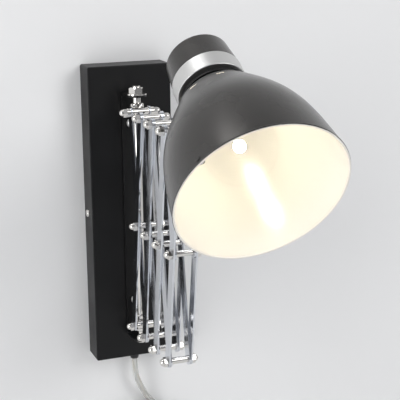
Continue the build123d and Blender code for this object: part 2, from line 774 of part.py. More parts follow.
def make_bulb():
    contact_end = HOLDER_BORE_END
    glass_front = BULB_CENTRE_S - BULB_R
    flank = (BULB_R * BULB_FLANK_SHARES[0], BULB_CENTRE_S + BULB_R * BULB_FLANK_SHARES[1])
    with BuildPart() as base:
        with BuildSketch(SHADE_PROFILE_PLANE):
            with BuildLine():
                Polyline(
                    (0, BULB_BASE_FRONT),
                    (BULB_BASE_R, BULB_BASE_FRONT),
                    (BULB_BASE_R, BULB_BASE_END - BULB_CONTACT_R / 2),
                    (BULB_CONTACT_R, BULB_BASE_END),
                    (BULB_CONTACT_R, contact_end),
                    (0, contact_end),
                    close=True,
                )
            make_face()
        revolve(axis=SHADE_AXIS)
    finish(base, "bulb_base")
    with BuildPart() as glass:
        with BuildSketch(SHADE_PROFILE_PLANE):
            with BuildLine():
                crown = ThreePointArc(
                    (0, glass_front),
                    (BULB_R * sin(pi / 4), BULB_CENTRE_S - BULB_R * cos(pi / 4)),
                    (BULB_R, BULB_CENTRE_S),
                )
                side = TangentArc(crown @ 1, flank, tangent=(0, 1))
                Spline(side @ 1, (BULB_NECK_R, BULB_BASE_FRONT), tangents=(side % 1, (0, 1)))
                Polyline((BULB_NECK_R, BULB_BASE_FRONT), (0, BULB_BASE_FRONT), (0, glass_front))
            make_face()
        revolve(axis=SHADE_AXIS)
        offset(amount=-BULB_WALL, openings=glass.faces().sort_by(SHADE_AXIS)[-1])
    finish(glass, "bulb_glass")


# ---------------------------------------------------------------- cord, coil and plug
def unit_tangent(angle, radius, radius_rate, depth_rate):
    """Direction of the coil at an angle that falls, with rates per radian wound."""
    across = Vector(sin(angle), 0, -cos(angle))
    outward = Vector(cos(angle), 0, sin(angle))
    return (across * radius + outward * radius_rate + Vector(0, depth_rate, 0)).normalized()


COIL_LAYER_Y = (-(COIL_WALL_GAP + CORD_D / 2), -(COIL_WALL_GAP + CORD_D / 2) - COIL_PITCH)
COIL_RATE = COIL_PITCH / (2 * pi)


def coil_knot(quarter):
    """Point and direction of the coil after a number of quarter turns."""
    angle = radians(COIL_START_ANGLE) - quarter * pi / 2
    half = COIL_QUARTERS / 2
    away = abs(quarter - half) * pi / 2
    radius = COIL_INNER_R + COIL_RATE * away
    climb = min(max((quarter - half + 1) / 2, 0), 1)
    depth = COIL_LAYER_Y[0] + (COIL_LAYER_Y[1] - COIL_LAYER_Y[0]) * (1 - cos(pi * climb)) / 2
    depth_rate = 0
    if abs(quarter - half) < 1:
        depth_rate = (COIL_LAYER_Y[1] - COIL_LAYER_Y[0]) * sin(pi * climb) / 2
    rate = 0
    if quarter < half:
        rate = -COIL_RATE
    if quarter > half:
        rate = COIL_RATE
    if quarter in (0, COIL_QUARTERS):
        rate = 0
    centre = Vector(COIL_CENTRE[0], depth, COIL_CENTRE[1])
    point = centre + Vector(cos(angle), 0, sin(angle)) * radius
    return point, unit_tangent(angle, radius, rate, depth_rate)


def biarc_middle(start, start_way, end, end_way):
    """Point where two tangent arcs meet between two given points and directions."""
    gap = end - start
    ways = start_way + end_way
    bend = 1 - start_way.dot(end_way)
    root = sqrt(gap.dot(ways) ** 2 + 2 * bend * gap.dot(gap))
    reach = (root - gap.dot(ways)) / (2 * bend)
    return (start + start_way * reach + end - end_way * reach) / 2


def coil_ends():
    """The coil's two open ends, each one diameter straight past its last turn."""
    first, first_way = coil_knot(0)
    last, last_way = coil_knot(COIL_QUARTERS)
    return first - first_way * CORD_D, last + last_way * CORD_D


def make_cord_coil():
    knots = [coil_knot(quarter) for quarter in range(COIL_QUARTERS + 1)]
    entry, leave = coil_ends()
    with BuildPart() as coil:
        with BuildLine() as path:
            Line(entry, knots[0][0])
            for (start, start_way), (end, end_way) in zip(knots, knots[1:]):
                middle = biarc_middle(start, start_way, end, end_way)
                first = TangentArc(start, middle, tangent=start_way)
                TangentArc(middle, end, tangent=first % 1)
            Line(knots[-1][0], leave)
        with BuildSketch(Plane(origin=entry, z_dir=knots[0][1])):
            Circle(CORD_D / 2)
        sweep(path=path.wires()[0])
    finish(coil, "cord_coil")
    report_tube("cord_coil", coil, path.wires()[0])
    print("coil least gap to itself", round(least_self_gap(path.wires()[0]), 2))


GAP_SAMPLES = 700


def least_self_gap(wire):
    """Smallest clear distance between stretches of a tube that don't adjoin."""
    samples = GAP_SAMPLES
    spacing = wire.length / samples
    points = [wire @ (index / samples) for index in range(samples + 1)]
    skip = ceil(3 * CORD_D / spacing)
    best = wire.length
    for index, point in enumerate(points):
        for other in points[index + skip:]:
            gap = (other - point).length - CORD_D
            best = min(best, gap)
    return best


def report_tube(name, piece, wire):
    """Print a tube's length and how far its volume is from section times length."""
    expected = pi * CORD_D ** 2 / 4 * wire.length
    print(name, "length", round(wire.length, 1), "volume ratio", round(piece.part.volume / expected, 4))


def fillet_radii(points):
    """The largest radius that each corner's two runs allow."""
    radii = []
    for before, corner, after in zip(points, points[1:], points[2:]):
        inward = Vector(*corner) - Vector(*before)
        onward = Vector(*after) - Vector(*corner)
        turn = radians(inward.get_angle(onward))
        radii.append(0.45 * min(inward.length, onward.length) / tan(turn / 2))
    return radii


def make_cord_tube(name, points):
    radii = fillet_radii(points)
    start = Vector(*points[0])
    way = Vector(*points[1]) - start
    with BuildPart() as tube:
        with BuildLine() as path:
            FilletPolyline(*points, radius=radii)
        with BuildSketch(Plane(origin=start, z_dir=way)):
            Circle(CORD_D / 2)
        sweep(path=path.wires()[0])
    finish(tube, name)
    report_tube(name, tube, path.wires()[0])
    print(name, "radii", [round(radius, 1) for radius in radii])


GLAND_END_Z = -COVER_HEIGHT / 2 - GLAND_OUT
COIL_ENTRY, COIL_LEAVE = coil_ends()
CORD_ROUTE = (
    (CORD_X, CORD_Y, GLAND_END_Z),
    (CORD_X, CORD_Y, -174.0),
    (8.6, -10.6, -192.0),
    (COIL_ENTRY.X - 13.6, COIL_ENTRY.Y, COIL_ENTRY.Z + 13.6),
    tuple(COIL_ENTRY),
)
TAIL_ROUTE = (
    tuple(COIL_LEAVE),
    (COIL_LEAVE.X + 13.0, COIL_LEAVE.Y, COIL_LEAVE.Z - 13.0),
    (COIL_LEAVE.X + 21.5, COIL_LEAVE.Y, COIL_LEAVE.Z - 33.0),
    (COIL_LEAVE.X + 21.5, COIL_LEAVE.Y, COIL_LEAVE.Z - 49.0),
)


def make_cord_gland():
    bottom = -COVER_HEIGHT / 2
    inside_face = bottom + COVER_WALL
    with BuildPart() as gland:
        with BuildSketch(Plane(origin=(CORD_X, CORD_Y, 0), x_dir=(1, 0, 0), z_dir=(0, -1, 0))):
            with BuildLine():
                Polyline(
                    (CORD_D / 2 + THREAD, inside_face + GLAND_IN),
                    (GLAND_R, inside_face + GLAND_IN),
                    (GLAND_R, inside_face + GLAND_FLANGE),
                    (GLAND_FLANGE_R, inside_face + GLAND_FLANGE),
                    (GLAND_FLANGE_R, inside_face),
                    (GLAND_R, inside_face),
                    (GLAND_R, bottom),
                    (GLAND_TIP_R, GLAND_END_Z),
                    (CORD_D / 2 + THREAD, GLAND_END_Z),
                    close=True,
                )
            make_face()
        revolve(axis=Axis((CORD_X, CORD_Y, 0), (0, 0, 1)))
    finish(gland, "cord_gland")


def make_cord_tie():
    angle = radians(TIE_ANGLE)
    outward = Vector(cos(angle), 0, sin(angle))
    outer_turn = COIL_INNER_R + COIL_RATE * COIL_QUARTERS / 2 * pi / 2
    low = COIL_INNER_R - CORD_D / 2 - TIE_GAP - COIL_PITCH / 2
    high = outer_turn + CORD_D / 2 + TIE_GAP
    front = COIL_LAYER_Y[1] - CORD_D / 2 - TIE_GAP
    back = COIL_LAYER_Y[0] + CORD_D / 2 + TIE_GAP
    centre = Vector(COIL_CENTRE[0], (front + back) / 2, COIL_CENTRE[1]) + outward * (low + high) / 2
    tie_plane = Plane(origin=centre, x_dir=outward, z_dir=outward.cross(Vector(0, 1, 0)))
    with BuildPart() as tie:
        with BuildSketch(tie_plane):
            RectangleRounded(high - low + 2 * TIE_THICK, back - front + 2 * TIE_THICK, CORD_D / 2)
            RectangleRounded(high - low, back - front, CORD_D / 2 - TIE_THICK, mode=Mode.SUBTRACT)
        extrude(amount=TIE_WIDTH / 2, both=True)
    finish(tie, "cord_tie")


def make_plug():
    x, y, top = TAIL_ROUTE[-1]
    face = top - PLUG_LENGTH
    with BuildPart() as body:
        with BuildSketch(Plane(origin=(x, y, top), z_dir=(0, 0, -1))):
            Circle(PLUG_GRIP_R)
        with BuildSketch(Plane(origin=(x, y, top - PLUG_LENGTH / 2), z_dir=(0, 0, -1))):
            RectangleRounded(PLUG_WAIST, PLUG_THICK, PLUG_FACE_R)
        with BuildSketch(Plane(origin=(x, y, face), z_dir=(0, 0, -1))):
            RectangleRounded(PLUG_WIDTH, PLUG_THICK, PLUG_FACE_R)
        loft()
        with BuildSketch(Plane(origin=(x, y, face), z_dir=(0, 0, 1))):
            with GridLocations(PIN_SPACING, 0, 2, 1):
                Circle(PIN_R + THREAD)
        extrude(amount=PIN_SEAT, mode=Mode.SUBTRACT)
    finish(body, "plug_body")
    with BuildPart() as pins:
        with BuildSketch(Plane(origin=(x, y, face - PIN_LENGTH), z_dir=(0, 0, 1))):
            with GridLocations(PIN_SPACING, 0, 2, 1):
                Circle(PIN_R)
        extrude(amount=PIN_LENGTH + PIN_SEAT)
        tips = pins.edges().group_by(Axis.Z)[0]
        fillet(tips, radius=PIN_TIP_R)
    finish(pins, "plug_pins")


make_wall_cover()
make_wall_strap()
make_side_screws()
make_terminal_block()
make_pivot_bracket()
make_bracket_screws()
make_rod()
make_lattice()
make_rod_block("swing_block", top_pivot(0), SWING_SLEEVE_HEIGHT)
make_axles("swing", (top_pivot(0),), SWING_STACK, SPACER_HALF)
make_swing_washers()
make_rod_block("slide_block", bottom_pivot(0), SLIDE_SLEEVE_HEIGHT)
make_head_joint()
make_shade()
make_rim_screw()
make_neck_and_ring()
make_cap()
make_lampholder()
make_bulb()
make_cord_gland()
make_cord_coil()
make_cord_tube("cord_run", CORD_ROUTE)
make_cord_tube("cord_tail", TAIL_ROUTE)
make_cord_tie()
make_plug()
print("bar length between pivots", round(sqrt(FOLDED_HEIGHT ** 2 + FOLDED_PITCH ** 2), 2))
print("shade opening", [round(value, 2) for value in tuple(SHADE_OPENING)])
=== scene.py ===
# %% [markdown]
# # An accordion wall lamp
# A black steel plate carries a scissor arm of polished bars. At its end hangs a bell
# shade in metallic grey, white and lit on the inside. The metal parts arrive finished
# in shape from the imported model. This script gives them their finishes, adds the clear
# mains cord and what glows in the bulb, and lights the scene.

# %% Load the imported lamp
import math

import bpy
from mathutils import Matrix, Vector


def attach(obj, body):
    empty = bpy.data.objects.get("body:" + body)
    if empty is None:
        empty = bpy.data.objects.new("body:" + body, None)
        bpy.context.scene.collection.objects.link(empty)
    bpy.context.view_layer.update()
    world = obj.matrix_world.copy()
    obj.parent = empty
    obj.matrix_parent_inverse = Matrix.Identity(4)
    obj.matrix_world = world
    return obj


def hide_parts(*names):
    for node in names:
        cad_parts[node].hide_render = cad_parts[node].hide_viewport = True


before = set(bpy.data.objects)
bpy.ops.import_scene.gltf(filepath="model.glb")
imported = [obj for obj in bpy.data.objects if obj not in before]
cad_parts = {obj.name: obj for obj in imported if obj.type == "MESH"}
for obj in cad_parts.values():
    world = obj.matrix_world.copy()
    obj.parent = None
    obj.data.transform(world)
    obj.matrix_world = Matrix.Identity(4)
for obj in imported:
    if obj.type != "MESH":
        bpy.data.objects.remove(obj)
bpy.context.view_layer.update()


# %% [markdown]
# The camera comes first, because it decides what every later choice looks like. It
# stands a little left of the lamp and above it, and looks down by fourteen degrees. The
# lens is long, so the plate's edges run nearly parallel. The camera's axes are worked
# out from its yaw, pitch and roll, which is easier to read than a rotation matrix.

# %% Camera
CAMERA_PLACE = Vector((-0.3234, -1.0701, 0.2917))
CAMERA_YAW = math.radians(20.75)
CAMERA_PITCH = math.radians(14.26)
CAMERA_ROLL = math.radians(-0.585)
FOCAL_PIXELS = 1128.9
IMAGE_PIXELS = 400
SENSOR_MM = 36.0


def camera_axes():
    """Right, up and forward of the camera."""
    flat = Vector((math.sin(CAMERA_YAW), math.cos(CAMERA_YAW), 0))
    forward = flat * math.cos(CAMERA_PITCH) - Vector((0, 0, math.sin(CAMERA_PITCH)))
    right = Vector((math.cos(CAMERA_YAW), -math.sin(CAMERA_YAW), 0))
    up = right.cross(forward)
    rolled_right = right * math.cos(CAMERA_ROLL) + up * math.sin(CAMERA_ROLL)
    rolled_up = up * math.cos(CAMERA_ROLL) - right * math.sin(CAMERA_ROLL)
    return rolled_right, rolled_up, forward


def make_camera():
    lens = bpy.data.cameras.new("camera")
    lens.sensor_width = SENSOR_MM
    lens.lens = SENSOR_MM * FOCAL_PIXELS / IMAGE_PIXELS
    camera = bpy.data.objects.new("camera", lens)
    bpy.context.scene.collection.objects.link(camera)
    right, up, forward = camera_axes()
    turn = Matrix((right, up, -forward)).transposed()
    camera.matrix_world = Matrix.Translation(CAMERA_PLACE) @ turn.to_4x4()
    bpy.context.scene.camera = camera
    return camera


camera = make_camera()
print("lens", round(camera.data.lens, 1), "mm")

# %% [markdown]
# The mains cord leaves a gland under the plate, falls past the edge of the picture and
# ends in a coil with its plug, as a lamp is stored. A NURBS line through a few points
# hangs softly, where straight runs with small arcs would look like bent wire. The
# points of the free stretches are listed one by one, and the coil's turns come from a
# loop: three turns inwards on the wall side, then three outwards on top of them.

# %% Route of the cord
CORD_RADIUS = 0.003
CORD_START = (0.0019, -0.0135, -0.1575)
COIL_CENTRE = (0.0058, -0.2614)
COIL_INNER = 0.0256
COIL_PITCH = 0.0065
COIL_TURNS = 6
COIL_FIRST_ANGLE = math.radians(45)
COIL_BACK_Y = -0.0044
COIL_FRONT_Y = -0.0109
POINTS_PER_TURN = 16
LAYER_CHANGE_TURNS = 0.5
# A NURBS line of order three cuts its corners: its radius is this share of its points'.
SPLINE_INSET = 0.75 + 0.25 * math.cos(2 * math.pi / POINTS_PER_TURN)
ENTRY = (0.03345, COIL_BACK_Y, -0.22527)
ENTRY_LEAD = 0.0136
RUN_POINTS = [
    CORD_START,
    (0.0019, -0.0135, -0.174),
    (0.0086, -0.0106, -0.192),
    (ENTRY[0] - ENTRY_LEAD, ENTRY[1], ENTRY[2] + ENTRY_LEAD),
    ENTRY,
]
TAIL_POINTS = [
    (0.04193, COIL_FRONT_Y, -0.23375),
    (0.05493, COIL_FRONT_Y, -0.24675),
    (0.06343, COIL_FRONT_Y, -0.26675),
    (0.06343, COIL_FRONT_Y, -0.28275),
]


def coil_point(turns):
    """Point of the coil after a number of turns: inwards, up a layer, outwards again."""
    half = COIL_TURNS / 2
    radius = (COIL_INNER + COIL_PITCH * abs(turns - half)) / SPLINE_INSET
    angle = COIL_FIRST_ANGLE - turns * 2 * math.pi
    climb = min(max((turns - half) / LAYER_CHANGE_TURNS + 0.5, 0), 1)
    eased = (1 - math.cos(math.pi * climb)) / 2
    depth = COIL_BACK_Y + (COIL_FRONT_Y - COIL_BACK_Y) * eased
    x = COIL_CENTRE[0] + radius * math.cos(angle)
    z = COIL_CENTRE[1] + radius * math.sin(angle)
    return (x, depth, z)


coil_steps = range(COIL_TURNS * POINTS_PER_TURN + 1)
COIL_POINTS = [coil_point(step / POINTS_PER_TURN) for step in coil_steps]
CORD_POINTS = RUN_POINTS + COIL_POINTS + TAIL_POINTS
print(len(CORD_POINTS), "cord points")

# %% [markdown]
# A curve object is the right thing for the sheath: its bevel gives a round section, and
# its line stays editable. The order is set after the points are added, because a spline
# with too few points falls back to straight runs. The bevel is one metre deep and every
# point scales it to the cord's radius: a point's own radius also counts in the object's
# box, so a point left at one would make the box two metres wide.

# %% Clear sheath of the cord
SPLINE_ORDER = 3
SPLINE_STEPS = 6
ROUND_STEPS = 4
CORE_ROUND_STEPS = 1


def nurbs_line(name, points, radius):
    """A curve object of one open NURBS spline, round where a radius is given."""
    curve = bpy.data.curves.new(name, "CURVE")
    curve.dimensions = "3D"
    spline = curve.splines.new("NURBS")
    spline.points.add(len(points) - 1)
    for point, place in zip(spline.points, points):
        point.co = (*place, 1)
        point.radius = radius
    spline.order_u = SPLINE_ORDER
    spline.use_endpoint_u = True
    curve.resolution_u = SPLINE_STEPS
    curve.bevel_depth = 1.0 if radius else 0.0
    curve.bevel_resolution = ROUND_STEPS
    curve.use_fill_caps = radius > 0
    line = bpy.data.objects.new(name, curve)
    bpy.context.scene.collection.objects.link(line)
    return line


clear_cord = nurbs_line("clear_cord", CORD_POINTS, CORD_RADIUS)
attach(clear_cord, "wall")
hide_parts("cord_run", "cord_coil", "cord_tail")

# %% [markdown]
# Through the clear sheath one sees two thin stranded cores that turn slowly about each
# other. They could be drawn as two more splines by hand, but then they might poke out
# at a bend. So each follows points read from the sheath's own line, moved sideways by a
# small turning offset, and can never leave the sheath.

# %% Two cores inside the sheath
CORE_RADIUS = 0.0007
CORE_OFFSET = 0.0011
CORE_TWIST_LENGTH = 0.055


def line_points(points):
    """Points along the NURBS line, read from a copy without a bevel."""
    bare = nurbs_line("bare_line", points, 0)
    mesh = bpy.data.meshes.new_from_object(bare)
    places = [vertex.co.copy() for vertex in mesh.vertices]
    bpy.data.objects.remove(bare)
    return places


def core_places(places, phase):
    """The line moved sideways by a slowly turning offset."""
    moved = []
    walked = 0.0
    side = Vector((1, 0, 0))
    for index, place in enumerate(places):
        before = places[max(index - 1, 0)]
        after = places[min(index + 1, len(places) - 1)]
        way = (after - before).normalized()
        side = (side - way * side.dot(way)).normalized()
        walked += (place - before).length
        turn = phase + walked / CORE_TWIST_LENGTH * 2 * math.pi
        across = side * math.cos(turn) + way.cross(side) * math.sin(turn)
        moved.append(place + across * CORE_OFFSET)
    return moved


def make_core(name, phase):
    curve = bpy.data.curves.new(name, "CURVE")
    curve.dimensions = "3D"
    places = core_places(line_points(CORD_POINTS), phase)
    spline = curve.splines.new("POLY")
    spline.points.add(len(places) - 1)
    for point, place in zip(spline.points, places):
        point.co = (*place, 1)
        point.radius = CORE_RADIUS
    curve.bevel_depth = 1.0
    curve.bevel_resolution = CORE_ROUND_STEPS
    core = bpy.data.objects.new(name, curve)
    bpy.context.scene.collection.objects.link(core)
    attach(core, "wall")
    return core


tinned_core = make_core("cord_core_tinned", 0.0)
copper_core = make_core("cord_core_copper", math.pi)
print("cores of", len(tinned_core.data.splines[0].points), "points")

# %% [markdown]
# Every finish below is a small set of shader nodes. Helpers keep them readable. The
# first ones make a material, add a node with its settings, link two nodes and give noise
# in the object's own metres. A value that is the same all over sits on the shader itself.
# Noise scales are per metre, so 1000 means grains of about a millimetre.

# %% Helpers for materials and noise


def new_finish(name, color, roughness, metallic=0.0):
    """A material and its main shader, with the values that hold all over."""
    material = bpy.data.materials.new(name)
    material.use_nodes = True
    shader = material.node_tree.nodes["Principled BSDF"]
    shader.inputs["Base Color"].default_value = (*color, 1)
    shader.inputs["Roughness"].default_value = roughness
    shader.inputs["Metallic"].default_value = metallic
    return material, shader


def add_node(material, kind, **inputs):
    """A node of a kind, with values for the named inputs."""
    node = material.node_tree.nodes.new(kind)
    for name, value in inputs.items():
        node.inputs[name.replace("_", " ")].default_value = value
    return node


def link(material, source, target):
    material.node_tree.links.new(source, target)


def object_places(material, scale=(1, 1, 1)):
    """The surface's own coordinates in metres, times a scale for each axis."""
    places = add_node(material, "ShaderNodeTexCoord")
    mapping = add_node(material, "ShaderNodeMapping", Scale=scale)
    link(material, places.outputs["Object"], mapping.inputs["Vector"])
    return mapping.outputs["Vector"]


def noise(material, places, scale, detail=3.0):
    """Noise between zero and one, with more small shapes the higher the detail."""
    node = add_node(material, "ShaderNodeTexNoise", Scale=scale, Detail=detail)
    link(material, places, node.inputs["Vector"])
    return node.outputs["Fac"]


print("helpers for materials ready")

# %% [markdown]
# A real surface is never the same all over. The second helpers let a noise vary what a
# finish looks like: its roughness to either side of a middle value, its colour down to a
# darker tone, or its relief. A bump only tilts the light, which is enough for forms too
# shallow to be seen in outline. The last helper puts a finish on nodes of the model.

# %% Helpers that vary a finish
# Noise seldom leaves this range, so it is spread from here.
NOISE_LOW = 0.3
NOISE_HIGH = 0.7
# The colour sockets of Blender's Mix node: two inputs and the output.
MIX_FIRST = 6
MIX_SECOND = 7
MIX_RESULT = 2


def remap(material, value, low, high, start=NOISE_LOW, end=NOISE_HIGH):
    """A value spread over a new range."""
    node = add_node(material, "ShaderNodeMapRange")
    for place, number in zip(range(1, 5), (start, end, low, high)):
        node.inputs[place].default_value = number
    link(material, value, node.inputs[0])
    return node.outputs[0]


def vary_roughness(material, shader, value, spread):
    """Roughness that follows a noise to either side of the finish's own."""
    own = shader.inputs["Roughness"].default_value
    varied = remap(material, value, own - spread, own + spread)
    link(material, varied, shader.inputs["Roughness"])


def vary_color(material, shader, value, darker):
    """A colour that follows a noise, from a darker tone up to the finish's own."""
    node = material.node_tree.nodes.new("ShaderNodeMix")
    node.data_type = "RGBA"
    node.inputs[MIX_FIRST].default_value = (*darker, 1)
    node.inputs[MIX_SECOND].default_value = shader.inputs["Base Color"].default_value
    link(material, value, node.inputs[0])
    link(material, node.outputs[MIX_RESULT], shader.inputs["Base Color"])


def bump(material, shader, height, distance, strength):
    """A fine relief of that depth in metres."""
    node = add_node(material, "ShaderNodeBump", Strength=strength, Distance=distance)
    link(material, height, node.inputs["Height"])
    link(material, node.outputs["Normal"], shader.inputs["Normal"])


def dress(material, *names):
    """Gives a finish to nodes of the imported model."""
    for name in names:
        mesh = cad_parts[name].data
        mesh.materials.clear()
        mesh.materials.append(material)


print("helpers that vary a finish ready")

# %% [markdown]
# The plate, its bracket and the lamp's neck are powder coated in black. The coat is not
# flat: it has the fine pebbles of orange peel, under a millimetre across, and takes a
# little more shine in some places than in others. A picture of a coat could show this,
# but noise needs no file and stays sharp from near by. Two scales of it give both.

# %% Black powder coat
COAT_BLACK = (0.006, 0.006, 0.0065)
COAT_DARKER = (0.003, 0.003, 0.0035)
COAT_ROUGHNESS = 0.41
COAT_SPREAD = 0.05
COAT_SPECULAR = 0.30
COAT_CLOUDS = 28
PEEL_SCALE = 1400
PEEL_DEPTH = 0.00003
PEEL_STRENGTH = 0.5


def make_powder_coat():
    material, shader = new_finish("black_powder_coat", COAT_BLACK, COAT_ROUGHNESS)
    shader.inputs["Specular IOR Level"].default_value = COAT_SPECULAR
    places = object_places(material)
    cloud = noise(material, places, COAT_CLOUDS, detail=4)
    vary_color(material, shader, cloud, COAT_DARKER)
    vary_roughness(material, shader, cloud, COAT_SPREAD)
    peel = noise(material, places, PEEL_SCALE, detail=2)
    bump(material, shader, peel, PEEL_DEPTH, PEEL_STRENGTH)
    return material


dress(make_powder_coat(), "wall_cover", "pivot_bracket", "neck_sleeve")
print("powder coat on the cover, the bracket and the neck sleeve")

# %% [markdown]
# The shade is one skin with two finishes: metallic grey lacquer outside and white
# enamel inside. The model has one mesh for it, so the material finds out which side a
# point is on: it compares the surface's direction with the way out from the shade's
# axis. Both are in the shade's own coordinates, so the answer holds in every pose.

# %% Axis of the shade
HEAD_DROP = math.radians(32.1)
BACKWARD = Vector((0, math.cos(HEAD_DROP), math.sin(HEAD_DROP)))
SHADE_OPENING = Vector((0, -0.34582, 0.09359))
SIDE_BLEND = 0.02


def vector_math(material, operation, first, second=(0, 0, 0)):
    """One step of vector arithmetic; each side is a socket or a fixed value."""
    node = material.node_tree.nodes.new("ShaderNodeVectorMath")
    node.operation = operation
    for side, value in zip((0, 1), (first, second)):
        if isinstance(value, bpy.types.NodeSocket):
            link(material, value, node.inputs[side])
        else:
            node.inputs[side].default_value = value
    return node.outputs["Value" if operation == "DOT_PRODUCT" else "Vector"]


def from_opening(material):
    """The way from the middle of the shade's opening to a point of the surface."""
    places = add_node(material, "ShaderNodeTexCoord")
    return vector_math(material, "SUBTRACT", places.outputs["Object"], SHADE_OPENING)


def along_axis(material, way):
    """How far a way leads along the shade's axis, in metres."""
    return vector_math(material, "DOT_PRODUCT", way, BACKWARD)


def outer_side(material):
    """One on the outer side of the shade and zero on its inner side."""
    way = from_opening(material)
    on_axis = vector_math(material, "MULTIPLY", BACKWARD, along_axis(material, way))
    outward = vector_math(material, "SUBTRACT", way, on_axis)
    unit = vector_math(material, "NORMALIZE", outward)
    tilted = vector_math(material, "ADD", unit, BACKWARD)
    normal = add_node(material, "ShaderNodeTexCoord").outputs["Normal"]
    facing = vector_math(material, "DOT_PRODUCT", tilted, normal)
    return remap(material, facing, 0, 1, -SIDE_BLEND, SIDE_BLEND)


print("shade opens at", [round(v, 3) for v in SHADE_OPENING])

# %% [markdown]
# The grey lacquer holds fine metal flakes, so it is mostly a metal: broad soft light
# bands run down the bell, with a grain that shows only close up. The enamel inside is
# warm white and glossy, as it has to throw the bulb's light out, and it mirrors the
# glowing bulb as a soft streak. Two materials on two sets of faces would do as well, but
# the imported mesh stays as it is, so one material mixes both.

# %% Grey lacquer and white enamel
LACQUER_GREY = (0.058, 0.055, 0.052)
LACQUER_DARKER = (0.045, 0.042, 0.040)
LACQUER_ROUGHNESS = 0.275
LACQUER_SPREAD = 0.035
LACQUER_METAL = 0.75
LACQUER_COAT = 0.25
LACQUER_COAT_ROUGHNESS = 0.25
FLAKE_SCALE = 2600
FLAKE_DEPTH = 0.00001
FLAKE_STRENGTH = 0.35
LACQUER_CLOUDS = 22
ENAMEL_WHITE = (0.90, 0.865, 0.815)
ENAMEL_ROUGHNESS = 0.15
ENAMEL_WAVES = 260
ENAMEL_DEPTH = 0.00006
ENAMEL_STRENGTH = 0.25


def show_mix(material, factor, first, second):
    """Shows the first shader where the factor is zero and the second where it is one."""
    mix = material.node_tree.nodes.new("ShaderNodeMixShader")
    for place, source in enumerate((factor, first.outputs[0], second.outputs[0])):
        link(material, source, mix.inputs[place])
    output = material.node_tree.nodes["Material Output"]
    link(material, mix.outputs[0], output.inputs["Surface"])


def lacquer_surface(material, shader):
    """A lacquer with flakes, slow clouds of gloss, a faint relief and a clear coat."""
    places = object_places(material)
    flakes = noise(material, places, FLAKE_SCALE, detail=2)
    cloud = noise(material, places, LACQUER_CLOUDS)
    shader.inputs["Coat Weight"].default_value = LACQUER_COAT
    shader.inputs["Coat Roughness"].default_value = LACQUER_COAT_ROUGHNESS
    vary_color(material, shader, flakes, LACQUER_DARKER)
    vary_roughness(material, shader, cloud, LACQUER_SPREAD)
    bump(material, shader, flakes, FLAKE_DEPTH, FLAKE_STRENGTH)


def new_lacquer(name):
    material, shader = new_finish(name, LACQUER_GREY, LACQUER_ROUGHNESS, LACQUER_METAL)
    lacquer_surface(material, shader)
    return material, shader


def make_shade_finish():
    """Lacquer outside and enamel inside, in one material."""
    material, lacquer = new_lacquer("shade_lacquer_and_enamel")
    enamel = add_node(material, "ShaderNodeBsdfPrincipled", Roughness=ENAMEL_ROUGHNESS)
    enamel.inputs["Base Color"].default_value = (*ENAMEL_WHITE, 1)
    waves = noise(material, object_places(material), ENAMEL_WAVES, detail=2)
    bump(material, enamel, waves, ENAMEL_DEPTH, ENAMEL_STRENGTH)
    show_mix(material, outer_side(material), enamel, lacquer)
    return material


dress(new_lacquer("grey_metallic_lacquer")[0], "cap", "rim_screw")
dress(make_shade_finish(), "shade")
print("lacquer on the cap, the rim screw and the shade, enamel inside the shade")

# %% [markdown]
# The ring between cap and shade is turned metal with a satin finish. A lathe leaves fine
# grooves that run round it. Noise of one dimension, read along the axis, changes from
# groove to groove and is the same all the way round, as on the real ring.

# %% Satin ring
RING_METAL = (0.66, 0.66, 0.65)
RING_ROUGHNESS = 0.41
RING_SPREAD = 0.05
GROOVE_SCALE = 6500
GROOVE_DEPTH = 0.00001
GROOVE_STRENGTH = 0.4


def arithmetic(material, operation, value, number=0.0):
    """One step of plain arithmetic on a value."""
    node = material.node_tree.nodes.new("ShaderNodeMath")
    node.operation = operation
    link(material, value, node.inputs[0])
    node.inputs[1].default_value = number
    return node.outputs[0]


def make_satin_ring():
    material, shader = new_finish("satin_turned_ring", RING_METAL, RING_ROUGHNESS, metallic=1.0)
    along = along_axis(material, from_opening(material))
    grooves = add_node(material, "ShaderNodeTexNoise", Scale=1.0, Detail=3.0)
    grooves.noise_dimensions = "1D"
    link(material, arithmetic(material, "MULTIPLY", along, GROOVE_SCALE), grooves.inputs["W"])
    height = grooves.outputs["Fac"]
    vary_roughness(material, shader, height, RING_SPREAD)
    bump(material, shader, height, GROOVE_DEPTH, GROOVE_STRENGTH)
    return material


dress(make_satin_ring(), "chrome_ring")
print("satin finish on the ring")

# %% [markdown]
# Bars, axles, nuts and the rod are polished steel with a thin chrome plate: nearly a
# mirror, faintly blue on the bars, with hairline polishing marks. The marks come from
# noise that is stretched along the bars' length. A plain mirror would look like computer
# graphics, so the roughness changes slowly and the relief is never quite flat.

# %% Polished chrome
# Each recipe: colour, marks per metre along three axes, roughness and its spread.
POLISHED_BARS = ((0.74, 0.76, 0.80), (900, 900, 25), 0.115, 0.045)
POLISHED_FITTINGS = ((0.78, 0.76, 0.73), (500, 500, 500), 0.085, 0.035)
NICKEL_PINS = ((0.76, 0.73, 0.66), (500, 500, 500), 0.20, 0.06)
CHROME_CLOUDS = 60
MARK_DEPTH = 0.000012
MARK_STRENGTH = 0.35


def make_polished(name, recipe):
    """Polished metal with fine marks and slow clouds of gloss."""
    color, mark_scale, roughness, spread = recipe
    material, shader = new_finish(name, color, roughness, metallic=1.0)
    marks = noise(material, object_places(material, mark_scale), 1.0, detail=4)
    cloud = noise(material, object_places(material), CHROME_CLOUDS, detail=2)
    vary_roughness(material, shader, cloud, spread)
    bump(material, shader, marks, MARK_DEPTH, MARK_STRENGTH)
    return material


